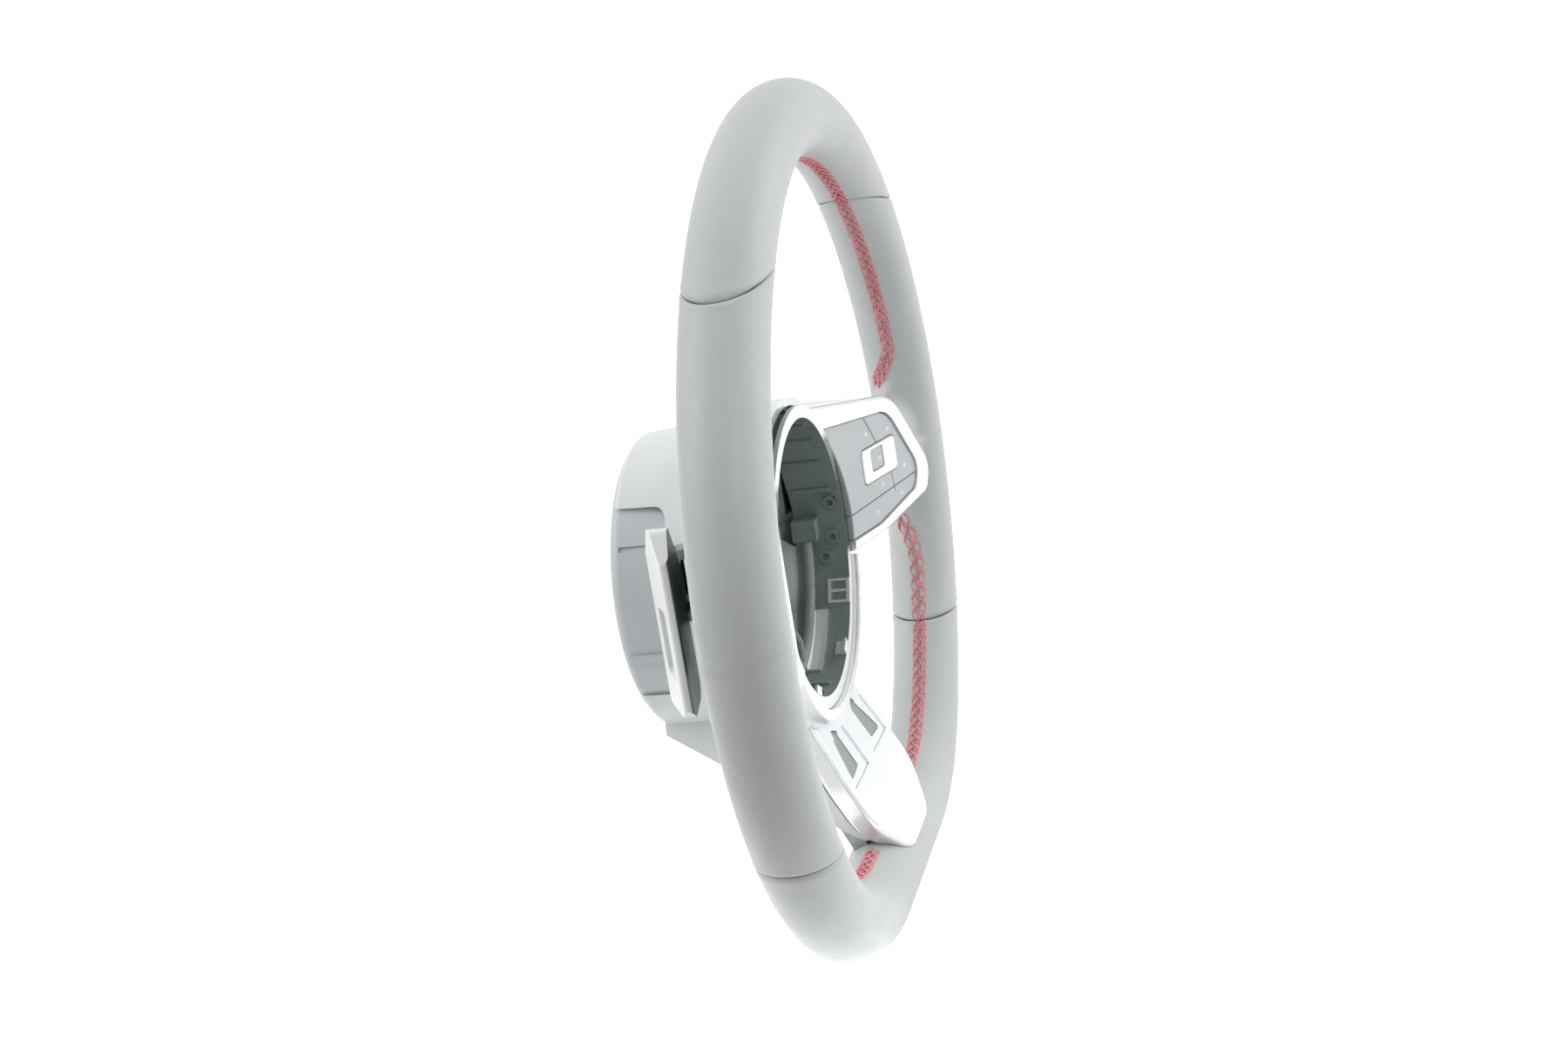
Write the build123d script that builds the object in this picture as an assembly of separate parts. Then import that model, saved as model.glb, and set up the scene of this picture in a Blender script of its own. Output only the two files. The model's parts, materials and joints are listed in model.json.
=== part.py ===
from build123d import *
import os
from math import sin, cos, tan, atan, radians, degrees, sqrt, pi

os.makedirs("parts", exist_ok=True)

# Sizes in mm: X to the driver's right, Y along the column away from the driver, Z up
# Rim
rim_radius = 168.0
bottom_drop = 150.0
rim_half = 16.2
leather_thick = 1.4
bar_radius = 6.0
seam_gap = 0.5
upper_seam_z = 121.5
lower_seam_z = -85.5
stitch_flat = 0.5
stitch_pitch = 5.0
stitch_width = 8.0
thread = 0.9
stitch_end = 14.0
root_length = 30.0
# Fits
slip = 0.3
key_gap = 0.5
pin_play = 0.1
# Hub
hub_z = -14.0
bay_radius = 65.0
ring_width = 3.6
ring_skirt = 8.0
drum_front = 24.0
drum_rear = 86.0
drum_radius = 63.8
drum_draft = 2.2
drum_drop = 4.0
cover_rear = 83.5
cover_round = 3.0
collar_step = 1.5
collar_front = 58.0
liner_clear = 1.0
liner_rear = 38.0
cover_wall = 2.0
column_window = 36.0
screw_radius = 2.0
liner_wall = 2.2
plate_front = 46.0
plate_thick = 7.0
plate_radius = 46.0
boss_radius = 19.0
bush_radius = 13.0
bore_radius = 9.0
bush_front = 44.0
bush_length = 32.0
arm_half = 11.0
arm_thick = 7.4
leg_x = 24.0
leg_width = 10.0
# Switch pods
pod_x = 60.0
pod_y = 13.0
pod_slope = 0.28
trim_proud = 1.0
trim_back = 4.0
trim_round = 2.0
key_thick = 3.0
tray_wall = 1.2
tray_depth = 11.5
rim_clear = 20.4
frame_start = 0.253
frame_share = 0.373
frame_low = -5.0
frame_high = 11.0
ok_start = 0.341
ok_share = 0.137
ok_low = -0.5
ok_high = 9.5
pivot_radius = 1.4
pivot_depth = 7.0
# Lower spoke
spoke_top_y = 17.5
spoke_proud = 1.9
spoke_plate = 2.0
spoke_wall = 2.5
spoke_skirt = 11.0
spoke_half = 40.5
panel_depth = 0.8
low_belly = 4.0
low_spread = 12.0
low_lip = 1.2
# Paddles
hinge_out = 9.2
hinge_y = 52.0
pin_radius = 1.5
barrel_radius = 3.6
barrel_half = 10.0
paddle_top = 29.0
paddle_low = -44.0

# Derived places
blend = radians(45)
corner_radius = (bottom_drop - rim_radius * sin(blend)) / (1 - sin(blend))
corner_x = (rim_radius - corner_radius) * cos(blend)
corner_z = -(rim_radius - corner_radius) * sin(blend)
seat_y = bush_front + bush_length / 2
pod_tilt = atan(pod_slope)
pod = Plane((pod_x, pod_y, 0), x_dir=(cos(pod_tilt), -sin(pod_tilt), 0),
            z_dir=(-sin(pod_tilt), -cos(pod_tilt), 0))
mid = Plane.YZ
root_end = rim_radius - root_length
pod_length = (rim_radius - rim_clear - pod_x) / cos(pod_tilt)
frame_left, frame_right = pod_length * frame_start, pod_length * (frame_start + frame_share)
ok_left, ok_right = pod_length * ok_start, pod_length * (ok_start + ok_share)
ring_low = hub_z - bay_radius
hinge_x = drum_radius + hinge_out
collar_radius = drum_radius - collar_step
collar_z = hub_z - drum_drop
front_radius = drum_radius + drum_draft
rim_low = rim_half - bottom_drop
spoke_slope = (spoke_top_y - spoke_proud + rim_half) / (ring_low - rim_low + rim_half - 10)


def save(name, *shapes):
    solids = [s for shape in shapes for s in shape.solids()]
    whole = solids[0] if len(solids) == 1 else Compound(children=solids)
    export_step(Pos(0, -seat_y, 0) * whole, f"parts/{name}.step")


def outline(points, radii=0):
    return make_face(FilletPolyline(*points, radius=radii, close=True))


def front_prism(sketch, y0, y1):
    return extrude(Plane.XZ.offset(-y1) * sketch, amount=y1 - y0)


def top_prism(sketch, z0, z1):
    return extrude(Plane.XY.offset(z0) * sketch, amount=z1 - z0)


def side_prism(sketch, x0, x1):
    return extrude(Plane.YZ.offset(x0) * sketch, amount=x1 - x0)


def disc(radius, y0, y1, x=0.0, z=0.0):
    return front_prism(Pos(x, z) * Circle(radius), y0, y1)


def block(x0, x1, y0, y1, z0, z1):
    return Pos((x0 + x1) / 2, (y0 + y1) / 2, (z0 + z1) / 2) * Box(x1 - x0, y1 - y0, z1 - z0)


def both(shape):
    return shape, mirror(shape, about=mid)


def level(line, x):
    for (xa, ya), (xb, yb) in zip(line, line[1:]):
        if x <= xb:
            break
    return ya + (yb - ya) * (x - xa) / (xb - xa)


def pair(name, shape):
    for side, piece in zip(("right", "left"), both(shape)):
        save(f"{side}_{name}", piece)


# Rim path: a round part over the top, two corner arcs and the flat bottom
def swing(section, cx, cz, radius, start, sweep):
    a = radians(start)
    at = Plane((cx + radius * cos(a), 0, cz + radius * sin(a)),
               x_dir=(cos(a), 0, sin(a)), z_dir=(-sin(a), 0, cos(a)))
    return revolve(at * section, Axis((cx, 0, cz), (0, -1, 0)), sweep)


def rim_sweep(section):
    flat = Plane((-corner_x, 0, -bottom_drop), x_dir=(0, 0, -1), z_dir=(1, 0, 0))
    return (swing(section, 0, 0, rim_radius, -45, 270)
            + swing(section, corner_x, corner_z, corner_radius, -90, 45)
            + swing(section, -corner_x, corner_z, corner_radius, 225, 45)
            + extrude(flat * section, amount=2 * corner_x))


# Spoke roots: the rim swells towards the side spokes
def pod_at(x):
    return pod_y - pod_slope * (x - pod_x)


arm_start = plate_front + arm_thick / 2 + slip
arm_line = [(plate_radius - 16, arm_start)] + [
    (root_end * share, pod_at(root_end * share) + behind)
    for share, behind in ((0.536, 27.7), (0.797, 24.75), (0.978, 19.0))] + [(rim_radius, 0)]
rear_line = [(root_end * share, level(arm_line, root_end * share) + behind) for share, behind in (
    (0.217, 8.0), (0.362, 8.1), (0.551, 7.5), (0.652, 9.0), (0.797, 9.2), (1.0, 7.4))]


def root(inset, x_end):
    middle = (rim_radius + root_end) / 2 - 5
    rings = ((rim_radius - 9, 1.0, 12.0, 37.0), (middle, level(arm_line, middle) - 2.0, 10.3, 27.0),
             (root_end, level(arm_line, root_end) - 2.9, 10.2, 22.5))
    faces = [Plane((x, y, -3.5), x_dir=(0, 1, 0), z_dir=(1, 0, 0)) *
             Ellipse(a - inset, b - inset) for x, y, a, b in rings]
    shape = loft(faces)
    if x_end < root_end:
        shape += extrude(Pos(x_end - root_end, 0, 0) * faces[-1], amount=root_end - x_end)
    return shape - block(0, x_end, -50, 50, -90, 90)


# Spoke arms and legs of the casting, grown a little where other pieces make room for them
def arm(grow):
    half = arm_thick / 2 + grow
    edge = [(x, y + half) for x, y in arm_line] + [(x, y - half) for x, y in reversed(arm_line)]
    return top_prism(outline(edge), -arm_half - grow, arm_half + grow)


def leg(grow):
    line = ((arm_start, -28), (33.5, ring_low + 3), (0, -bottom_drop))
    half = arm_thick / 2 + grow
    edge = [(y + half, z) for y, z in line] + [(y - half, z) for y, z in reversed(line)]
    return side_prism(outline(edge), leg_x - leg_width / 2 - grow, leg_x + leg_width / 2 + grow)


def limbs(grow):
    return sum((both(arm(grow)) + both(leg(grow)))[1:], both(arm(grow))[0])


# Leather and foam
skin = Circle(rim_half) - Pos(-2 * rim_half + stitch_flat, 0) * Rectangle(2 * rim_half, 2 * rim_half)
core_half = rim_half - leather_thick
tube = rim_sweep(skin - Circle(core_half))
room = limbs(slip)
wide = 2 * rim_radius
high = upper_seam_z + seam_gap / 2
low = lower_seam_z - seam_gap / 2
save("leather_top", tube & block(-wide, wide, -wide, wide, high, wide))
save("leather_bottom", (tube & block(-wide, wide, -wide, wide, -wide, low)) - room)
side = (tube & block(0, wide, -wide, wide, low + seam_gap, high - seam_gap)) + (
    root(0, root_end) - rim_sweep(Circle(core_half)))
pair("leather", side - root(leather_thick, root_end - 10))
fill = root(leather_thick + slip, root_end + slip)
foam = rim_sweep(Circle(core_half - slip)) + both(fill)[0] + both(fill)[1]
save("rim_foam", foam - rim_sweep(Circle(bar_radius + slip)) - room)

# Cross stitches on the flat along the inside of the rim
bar = Box(sqrt(stitch_pitch ** 2 + stitch_width ** 2), thread, thread)
lean = degrees(atan(stitch_width / stitch_pitch))
cross = Rot(0, 0, lean) * bar + Rot(0, 0, -lean) * bar
lift = thread / 2 + slip / 3


def stitches(cx, cz, radius, start, end):
    inner = radius - rim_half + stitch_flat - lift
    count = int(radians(end - start) * inner / stitch_pitch)
    for i in range(count):
        a = radians(start + (i + 0.5) * (end - start) / count)
        yield Plane((cx + inner * cos(a), 0, cz + inner * sin(a)),
                    x_dir=(-sin(a), 0, cos(a)), z_dir=(-cos(a), 0, -sin(a))).location * cross


half_row = [*stitches(0, 0, rim_radius, -45, -stitch_end - 3),
            *stitches(corner_x, corner_z, corner_radius, -90, -45)]
save("stitching", *stitches(0, 0, rim_radius, stitch_end, 180 - stitch_end),
     *half_row, *(mirror(s, about=mid) for s in half_row))

# Casting: hub plate, boss, arms, legs and rim bar, with posts for the cover screws
posts = ((38.0, -38.0), (-38.0, -38.0), (0.0, -57.0))
plate = Circle(plate_radius)
for x, z in posts:
    plate += trace(Line((0, 0), (x, z)), line_width=14) + Pos(x, z) * Circle(7)
plate -= [Pos(x, 22) * Circle(8) for x in (-24, 24)]
horn_spots = ((0.0, 34.0), (28.0, -17.0), (-28.0, -17.0))
armature = rim_sweep(Circle(bar_radius)) + limbs(0)
channel = Pos(0, -3, 0) * arm(0) & block(pod_x - 6, root_end - 14, -wide, wide, 3 - arm_half, arm_half - 3)
armature -= both(channel)[0]
armature -= both(channel)[1]
armature += front_prism(plate, plate_front, plate_front + plate_thick)
armature += disc(boss_radius, bush_front - 2, bush_front + bush_length - 2)
cover_inside = drum_rear - cover_wall
for x, z in posts:
    armature += disc(5, plate_front, cover_inside - 0.05, x, z)
    armature -= disc(screw_radius + pin_play, cover_inside - 14, drum_rear, x, z)
for x, z in horn_spots:
    armature -= disc(3 + pin_play, 0, drum_rear, x, z)
armature -= disc(bush_radius + pin_play / 2, 0, drum_rear)
save("armature", armature)
save("column_bush", disc(bush_radius, bush_front, bush_front + bush_length)
     - disc(bore_radius, 0, drum_rear))
save("horn_posts", *(disc(5, plate_front - 8, plate_front - 4, x, z)
                     + disc(4.5, plate_front - 3, plate_front - 0.05, x, z)
                     + disc(3, plate_front - 5, plate_front + plate_thick + 2, x, z)
                     for x, z in horn_spots))
wire_y = plate_front - 1.35
wire = FilletPolyline(*((x, wire_y, z) for x, z in ((-37.5, -13), (-37.5, -24), (37.5, -24), (37.5, -13))),
                      radius=5)
save("airbag_wire", sweep(Plane(wire @ 0, z_dir=wire % 0) * Circle(1.3), path=wire))

# Rear cover: a tapered drum with a fairing behind each spoke, all one wall thick, and a collar in its rear
def spoke_front(z):
    return spoke_top_y + spoke_slope * (z - ring_low)


def down(share):
    return ring_low + share * (rim_low - ring_low)


def drum(inset, y0, y1, corner=0.0):
    rings = []
    for y in (y0, y1):
        back = (y - drum_front) / (cover_rear - drum_front)
        circle = Pos(0, hub_z - drum_drop * back) * Circle(front_radius - drum_draft * back - inset)
        rings.append(Plane.XZ.offset(-y) * circle)
    shape = loft(rings)
    return fillet(shape.edges().sort_by(Axis.Y)[-1], corner)


def cup(radius, y0, y1, corner):
    return fillet(disc(radius, y0, y1, 0, collar_z).edges().sort_by(Axis.Y)[-1], corner)


face_low = -26.0
face_edge = [(pod_length * share, v) for share, v in (
    (-0.35, 32.6), (0.582, 24), (0.857, -9), (0.791, -19.5), (0.352, face_low), (-0.066, face_low))]
trim_edge = [(pod_length * share, v) for share, v in (
    (-0.352, 44.5), (0.66, 30), (1, -11), (0.934, -24), (0.396, -30.5), (-0.066, -30.5))]
half_spoke = [(spoke_half * share, z) for share, z in (
    (0.68, ring_low + 34), (1, down(0.49)), (1, down(0.82)), (0.5, down(1.15)))]
spoke_edge = half_spoke + [(-x, z) for x, z in reversed(half_spoke)]


def pod_face(grow):
    return offset(outline(face_edge, [0, 20, 10, 6, 30, 0]), amount=grow)


def trim_face(grow):
    return offset(outline(trim_edge, [0, 30, 13, 8, 30, 0]), amount=grow)


def spoke_face(grow):
    return offset(outline(spoke_edge, [0, 30, 18, 20, 20, 18, 30, 0]), amount=grow)


def bay_arc(grow):
    return Pos(-pod_x / cos(pod_tilt), hub_z) * Rot(0, 0, 180) * Ellipse(
        (bay_radius + grow) / cos(pod_tilt), bay_radius + grow)


def slab(sketch, w0, w1):
    return extrude(Pos(0, 0, w0) * sketch, amount=w1 - w0)


def fairing(inset, x_end, face, w_front):
    last = rear_line[-1][1]
    rear = [(x, y - inset * 1.1) for x, y in rear_line + [(x_end + 1, last)]]
    edge = [(rear[0][0], -40)] + rear + [(x_end + 1, -40)]
    shape = (pod.location * slab(face, -75, w_front)) & top_prism(outline(edge), -80, 80)
    return shape & block(0, x_end, -wide, wide, -wide, wide)


def low_fairing(inset, front):
    top, end, rear = spoke_edge[0][1] - inset, rim_low + 2, cover_rear - 1 - inset
    edge = [(spoke_front(top) + front, top), (spoke_front(end) + front, end), (rear, end), (rear, top)]
    bend = drum_radius + low_spread
    rings = ((0, rim_low - 7 + bend, bend), (rear, collar_z - low_belly, drum_radius + low_lip))
    belly = loft([Plane.XZ.offset(-y) * Pos(0, z) * Circle(r - 1.25 * inset) for y, z, r in rings])
    return front_prism(spoke_face(-1 - inset), -40, drum_rear) & side_prism(outline(edge), -60, 60) & belly


ring_room = disc(bay_radius + ring_skirt + slip, -40, drum_front, 0, hub_z)
out = fairing(0, root_end - slip, trim_face(-0.8), -trim_back - slip)
out -= disc(bay_radius + ring_width + slip, -40, drum_front, 0, hub_z)
hollow = fairing(cover_wall, rim_radius, trim_face(-0.8 - cover_wall), -trim_back)
cover = drum(0, drum_front, cover_rear, cover_round)
cover += [*both(out), low_fairing(0, spoke_skirt + slip) - ring_room]
cover -= drum(cover_wall, drum_front - 1, cover_rear - cover_wall, cover_round - cover_wall)
cover -= [*both(hollow), low_fairing(cover_wall, spoke_skirt - 5)]
cover -= disc(collar_radius + slip, collar_front - slip, drum_rear, 0, collar_z)
cover -= Pos(0, 0, -bottom_drop) * Rot(0, 90, 0) * Cylinder(rim_half + slip, wide)
side_low, side_high = collar_z - 0.54 * drum_radius, collar_z + 0.69 * drum_radius
side = [(collar_front + 2, side_low), (wide, side_low), (wide, side_high), (collar_front + 2, side_high)]
cover -= side_prism(outline(side, [5, 0, 0, 5]), -wide, wide)
save("rear_cover", cover - room)
collar = cup(collar_radius, collar_front, drum_rear, 5)
collar -= cup(collar_radius - cover_wall, collar_front - 1, cover_inside, 3)
collar -= disc(column_window, cover_inside - 5, drum_rear + 5)
collar -= [disc(screw_radius + slip, cover_inside - 5, drum_rear + 5, x, z) for x, z in posts]
band = disc(collar_radius + 1.2, collar_front + 4, drum_rear - 5, 0, collar_z) - disc(
    collar_radius - 1, 0, wide, 0, collar_z)
collar += band & block(-wide, wide, 0, wide, hub_z - 21.5, hub_z - 18.5)
collar -= band & block(-wide, wide, 0, wide, hub_z + 24, hub_z + 26)
save("column_collar", collar)
save("cover_screws", *(disc(4, drum_rear + 0.05, drum_rear + 2.5, x, z)
                       + disc(screw_radius, cover_inside - 12, drum_rear + 0.1, x, z)
                       - front_prism(Pos(x, z) * RegularPolygon(1.8, 6), drum_rear + 1, drum_rear + 9)
                       for x, z in posts))

# Bay liner with windows for the arms and legs, ribs, clips and loom
liner_share = (liner_rear - drum_front) / (cover_rear - drum_front)
liner_out = front_radius - (drum_draft + drum_drop) * liner_share - cover_wall - liner_clear
liner_in = liner_out - liner_wall
liner = disc(liner_out, 14, liner_rear, 0, hub_z) + disc(bay_radius - slip, 14, 16, 0, hub_z)
liner -= disc(liner_in, 0, 60, 0, hub_z)
for a in (15, 30, 45, 60, 75, 105, 120, 135, 150, 165, 265, 275):
    liner += swing(Pos(0, 27) * Rectangle(2, 18), 0, hub_z, liner_in, a - 1, 2)
for a, y in ((radians(-7), 20), (radians(-16), 24), (radians(9), 19)):
    at = Plane(((liner_in + 1) * cos(a), y, hub_z + (liner_in + 1) * sin(a)), z_dir=(-cos(a), 0, -sin(a)))
    socket = extrude(at * (Circle(3) - Circle(1.6)), amount=3.2)
    liner += [*both(socket)]
liner -= room
save("bay_liner", liner)


def on_wall(depth, thick, y0, y1, a0, a1):
    return swing(Pos(0, (y0 + y1) / 2) * Rectangle(thick, y1 - y0), 0, hub_z,
                 liner_in - depth - thick / 2, a0, a1 - a0)


clip = on_wall(0.2, 1.0, 14, 24, -37, -26)
clip -= on_wall(-1, 4, 15.5, 22.5, -35.9, -32.1) + on_wall(-1, 4, 15.5, 22.5, -30.9, -27.1)
pair("window_clip", clip)
pair("hook_clip", on_wall(0.2, 1.0, 14, 19, -64, -57) + on_wall(0.2, 3.5, 14, 15, -64, -57))
pair("guide_strap", on_wall(0.2, 1.2, 24, 31, -74, -40) + on_wall(0.2, 3, 30, 31, -74, -40))
loom = swing(Pos(0, 31) * Circle(2.5), 0, hub_z, liner_in - 6.6, -172, 164)
drop = FilletPolyline((12, 31, -64), (12, 31, -49), (12, 62, -49), radius=8)
loom += sweep(Plane(drop @ 0, z_dir=drop % 0) * Circle(2.2), path=drop)
save("loom", loom)
plug = block(liner_in - 10, liner_in - 0.8, 25.5, 36.5, -20.6, -11)
save("loom_plugs", *both(plug), block(6.5, 17.5, 62.1, 72, -52.5, -45.5))

# Bright trims: one round each pod with a quarter of the bay ring, one on the lower spoke
trim = slab(trim_face(0), -trim_back, trim_proud)
trim = fillet(trim.edges().group_by(Axis.Z)[-1], trim_round)
trim = pod.location * (trim - slab(pod_face(0), -20, 20) - slab(bay_arc(0), -20, 20))
ring_mid = bay_radius + ring_width / 2
trim -= block(0, pod_x, drum_front - slip, wide, 0, wide)
trim += swing(Pos(0, drum_front - 3) * Rectangle(ring_width, 5.4), 0, hub_z, ring_mid, 52, 37.8)
pair("pod_trim", trim)



def slope_slab(d0, d1):
    z0, z1 = ring_low + 40, rim_low - 20
    return side_prism(outline([(spoke_front(z0) + d0, z0), (spoke_front(z1) + d0, z1),
                               (spoke_front(z1) + d1, z1), (spoke_front(z0) + d1, z0)]), -80, 80)


def spoke_patch(points, d0, d1, grow=0.0):
    shape = outline([(spoke_half * share, down(z)) for share, z in points], 1.2)
    return both(front_prism(offset(shape, amount=grow), -60, 60) & slope_slab(d0, d1))


spoke = front_prism(spoke_face(0), -60, 60) & slope_slab(0, spoke_skirt)
spoke = fillet(spoke.faces().sort_by(Axis.Y)[0].edges().filter_by(
    lambda e: e.center().Z < ring_low), trim_round)
spoke -= front_prism(spoke_face(-spoke_wall), -60, 60) & slope_slab(spoke_plate, spoke_skirt + 1)
slot = ((0.52, 0.11), (0.37, 0.15), (0.39, 0.44), (0.76, 0.456))
spoke -= spoke_patch(((0.14, 0.17), (0.14, 0.5), (0.87, 0.5), (0.80, 0.17)), -1, panel_depth)
spoke -= spoke_patch(slot, -1, spoke_plate + 1)
save("spoke_inserts", *spoke_patch(slot, panel_depth + 0.4, panel_depth + spoke_plate, -slip))
spoke -= disc(bay_radius + 1, -60, 60, 0, hub_z)
inner, outer = -ring_width / 2, ring_skirt - ring_width / 2
skirt = outline([(inner, 11.5), (inner + 4.5, 11.5), (outer, 16.5), (outer, drum_front - slip),
                 (inner, drum_front - slip)])
spoke += swing(skirt, 0, hub_z, ring_mid, 195.5, 149)
spoke -= Pos(0, 0, -bottom_drop) * Rot(0, 90, 0) * Cylinder(rim_half + slip, wide)
save("spoke_trim", spoke)

# Switch pods, made flat and set on their sloping plane
floor = -tray_depth + tray_wall
tray = slab(pod_face(0.9) - bay_arc(slip), -tray_depth, -trim_back - 0.05)
tray -= slab(pod_face(-slip) - bay_arc(slip + tray_wall), floor, 20)
axis_v = (frame_low + frame_high) / 2 + 1
lower_u = pod_length * 0.396
bay_edge = (sqrt(bay_radius ** 2 - (axis_v - hub_z) ** 2) - pod_x) / cos(pod_tilt)
(u0, v0), (u1, v1) = face_edge[1:3]
face_end = u0 + (u1 - u0) * (axis_v - v0) / (v1 - v0)
inner_span = (bay_edge + 4.5, frame_left - 3)
outer_span = (frame_right + 1, face_end - 1)
lower_span = (face_low + 2, face_low + 10.5)
top = -pivot_depth + 2.2


def ends(span):
    post = (span[1] - span[0]) / 4
    return (span[0], span[0] + post), (span[1] - post, span[1])


feet = Part()
for span in (inner_span, outer_span):
    for a, b in ends(span):
        feet += block(a, b, axis_v - 3, axis_v + 3, floor, top)
for a, b in ends(lower_span):
    feet += block(lower_u - 3, lower_u + 3, a, b, floor, top)
bosses = ((bay_edge + 11.5, 17.0), (frame_right - 3, frame_low - 4.5))
for u, v in bosses:
    feet += slab(Pos(u, v) * Circle(2.6), floor, -6)


def pivot(span, radius, along_v=False):
    length, centre = span[1] - span[0], (span[0] + span[1]) / 2
    if along_v:
        return Pos(lower_u, centre, -pivot_depth) * Rot(90, 0, 0) * Cylinder(radius, length)
    return Pos(centre, axis_v, -pivot_depth) * Rot(0, 90, 0) * Cylinder(radius, length)


tray += feet
tray -= pivot((inner_span[0] - 1, inner_span[1] + 1), pivot_radius + pin_play)
tray -= pivot((outer_span[0] - 0.2, outer_span[1] + 0.2), pivot_radius + pin_play)
tray -= pivot((lower_span[0] - 0.5, lower_span[1] + 0.5), pivot_radius + pin_play, True)
tray -= [slab(Pos(u, v) * Circle(1.1 + pin_play), -20, -6.6) for u, v in bosses]
pair("pod_tray", pod.location * tray)

frame_area = outline([(frame_left, frame_low), (frame_right, frame_low), (frame_right, frame_high),
                      (frame_left, frame_high)], 2.5)
ok_area = outline([(ok_left, ok_low), (ok_right, ok_low), (ok_right, ok_high), (ok_left, ok_high)], 1.5)
keys = pod_face(-key_gap) - bay_arc(key_gap) - offset(frame_area, amount=key_gap)
seam = face_low + 12.5
frame_mid = (frame_left + frame_right) / 2
for a, b in (((-10, seam - 1.7), (pod_length, seam + 1.7)), ((frame_left + 4, 30), (frame_mid + 1, frame_high - 2)),
             ((frame_right - 7, frame_low + 2), (frame_right - 5.5, seam - 1.5))):
    keys -= trace(Line(a, b), line_width=key_gap)
caps = keys.faces().sort_by(Axis.Y)
lower_cap = caps[0]
inner_cap, outer_cap = sorted(caps[1:], key=lambda f: f.center().X)


def rocker(face, span, along_v=False):
    cap = slab(face, -key_thick, 0)
    cap = chamfer(cap.edges().group_by(Axis.Z)[-1], 0.4)
    third = (span[1] - span[0]) / 3
    a, b = span[0] + third, span[1] - third
    if along_v:
        rib = block(lower_u - 1.3, lower_u + 1.3, a, b, -pivot_depth, -key_thick + 0.1)
    else:
        rib = block(a, b, axis_v - 1.3, axis_v + 1.3, -pivot_depth, -key_thick + 0.1)
    return pod.location * (cap + rib + pivot(span, pivot_radius, along_v))


pair("inner_rocker", rocker(inner_cap, inner_span))
pair("outer_rocker", rocker(outer_cap, outer_span))
pair("lower_rocker", rocker(lower_cap, lower_span, True))
frame = slab(frame_area, -key_thick - 0.5, 0.6)
frame = chamfer(frame.edges().group_by(Axis.Z)[-1], 0.5)
stands = Part()
for u in (frame_left + 2, frame_right - 5):
    stands += block(u, u + 3, frame_low + 5, frame_high - 6, floor + 0.05, -key_thick)
pair("key_frame", pod.location * (frame - slab(offset(ok_area, amount=slip), -20, 20) + stands))
button = slab(ok_area, -key_thick - 1.6, 0.3)
button = chamfer(button.edges().group_by(Axis.Z)[-1], 0.4)
button += slab(offset(ok_area, amount=1.0), -key_thick - 1.6, -key_thick - 0.8)
button += slab(Pos((ok_left + ok_right) / 2, (ok_low + ok_high) / 2) * Circle(2.5), -8, -key_thick)
pair("ok_button", pod.location * button)
mat = slab(pod_face(-2.5) - bay_arc(slip + tray_wall + 1.5), floor + 0.05, floor + 0.8)
for solid in (feet + stands).solids():
    b = solid.bounding_box()
    mat -= block(b.min.X - slip, b.max.X + slip, b.min.Y - slip, b.max.Y + slip, -20, 0)
pair("dome_mat", pod.location * mat)
board = slab(pod_face(-4) - bay_arc(6), -tray_depth - 1.3, -tray_depth - 0.05)
board -= [slab(Pos(u, v) * Circle(1.3), -20, 0) for u, v in bosses]
pair("switch_board", pod.location * board)
screw = slab(Circle(2.4), -tray_depth - 2.8, -tray_depth - 1.35) + slab(Circle(1.1), -tray_depth - 1.4, -7.4)
pair("pod_screws", pod.location * Part(children=[Pos(u, v) * screw for u, v in bosses]))

# Gear paddles on hinge pins in brackets behind the side spokes
def by_hinge(points, radii):
    return outline([(hinge_x + x, y) for x, y in points], radii)


blade = by_hinge([(6, hinge_y - 4), (35, hinge_y - 9.7), (40.5, hinge_y - 8.2), (11, hinge_y + 7.5),
                  (7.5, hinge_y + 5.5)], [0, 2, 2, 1.5, 1.5])
shape = by_hinge([(-13, paddle_top - 21), (5, paddle_top - 20), (22, paddle_top), (28, paddle_top), (40, 15),
                  (41.5, -36), (33, paddle_low), (11, paddle_low), (-13, -20)], [0, 4, 4, 3, 6, 7, 7, 8, 0])
neck = by_hinge([(0, hinge_y - 3), (7, hinge_y - 4.2), (7, hinge_y + 0.2), (0, hinge_y + 3)], 0)
paddle = top_prism(blade, -80, 80) & front_prism(shape, 0, 2 * hinge_y)
flank = Plane((hinge_x + 25.75, hinge_y - 0.35, -16), x_dir=(29.5, -15.7, 0), z_dir=(15.7, 29.5, 0))
paddle -= extrude(flank * RectangleRounded(15, 27, 3), amount=-1.6)
paddle += top_prism(neck, -barrel_half, barrel_half)
paddle += Pos(hinge_x, hinge_y, 0) * Cylinder(barrel_radius, 2 * barrel_half)
paddle -= Pos(hinge_x, hinge_y, 0) * Cylinder(pin_radius + pin_play, 90)
pair("paddle", paddle)
ear = barrel_half + 2 * slip
foot = [(hinge_x + x, level(rear_line, hinge_x + x) + slip) for x in (-7, 3, 7)]
base = outline(foot + [(x, y + 2.5) for x, y in reversed(foot)])
cheek = outline([(x, y + 1) for x, y in foot[:2]] + [
    (hinge_x + x, hinge_y + y) for x, y in ((4, 1), (1, 4), (-3, 3.5))], [0, 0, 3, 2, 2])
bracket = top_prism(base, -ear - 4, ear + 4)
bracket += top_prism(cheek, ear, ear + 4) + top_prism(cheek, -ear - 4, -ear)
bracket -= Pos(hinge_x, hinge_y, 0) * Cylinder(pin_radius + pin_play / 2, 90)
pair("paddle_bracket", bracket)
pair("paddle_pin", Pos(hinge_x, hinge_y, 0) * Cylinder(pin_radius, 2 * ear + 9))
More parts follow.
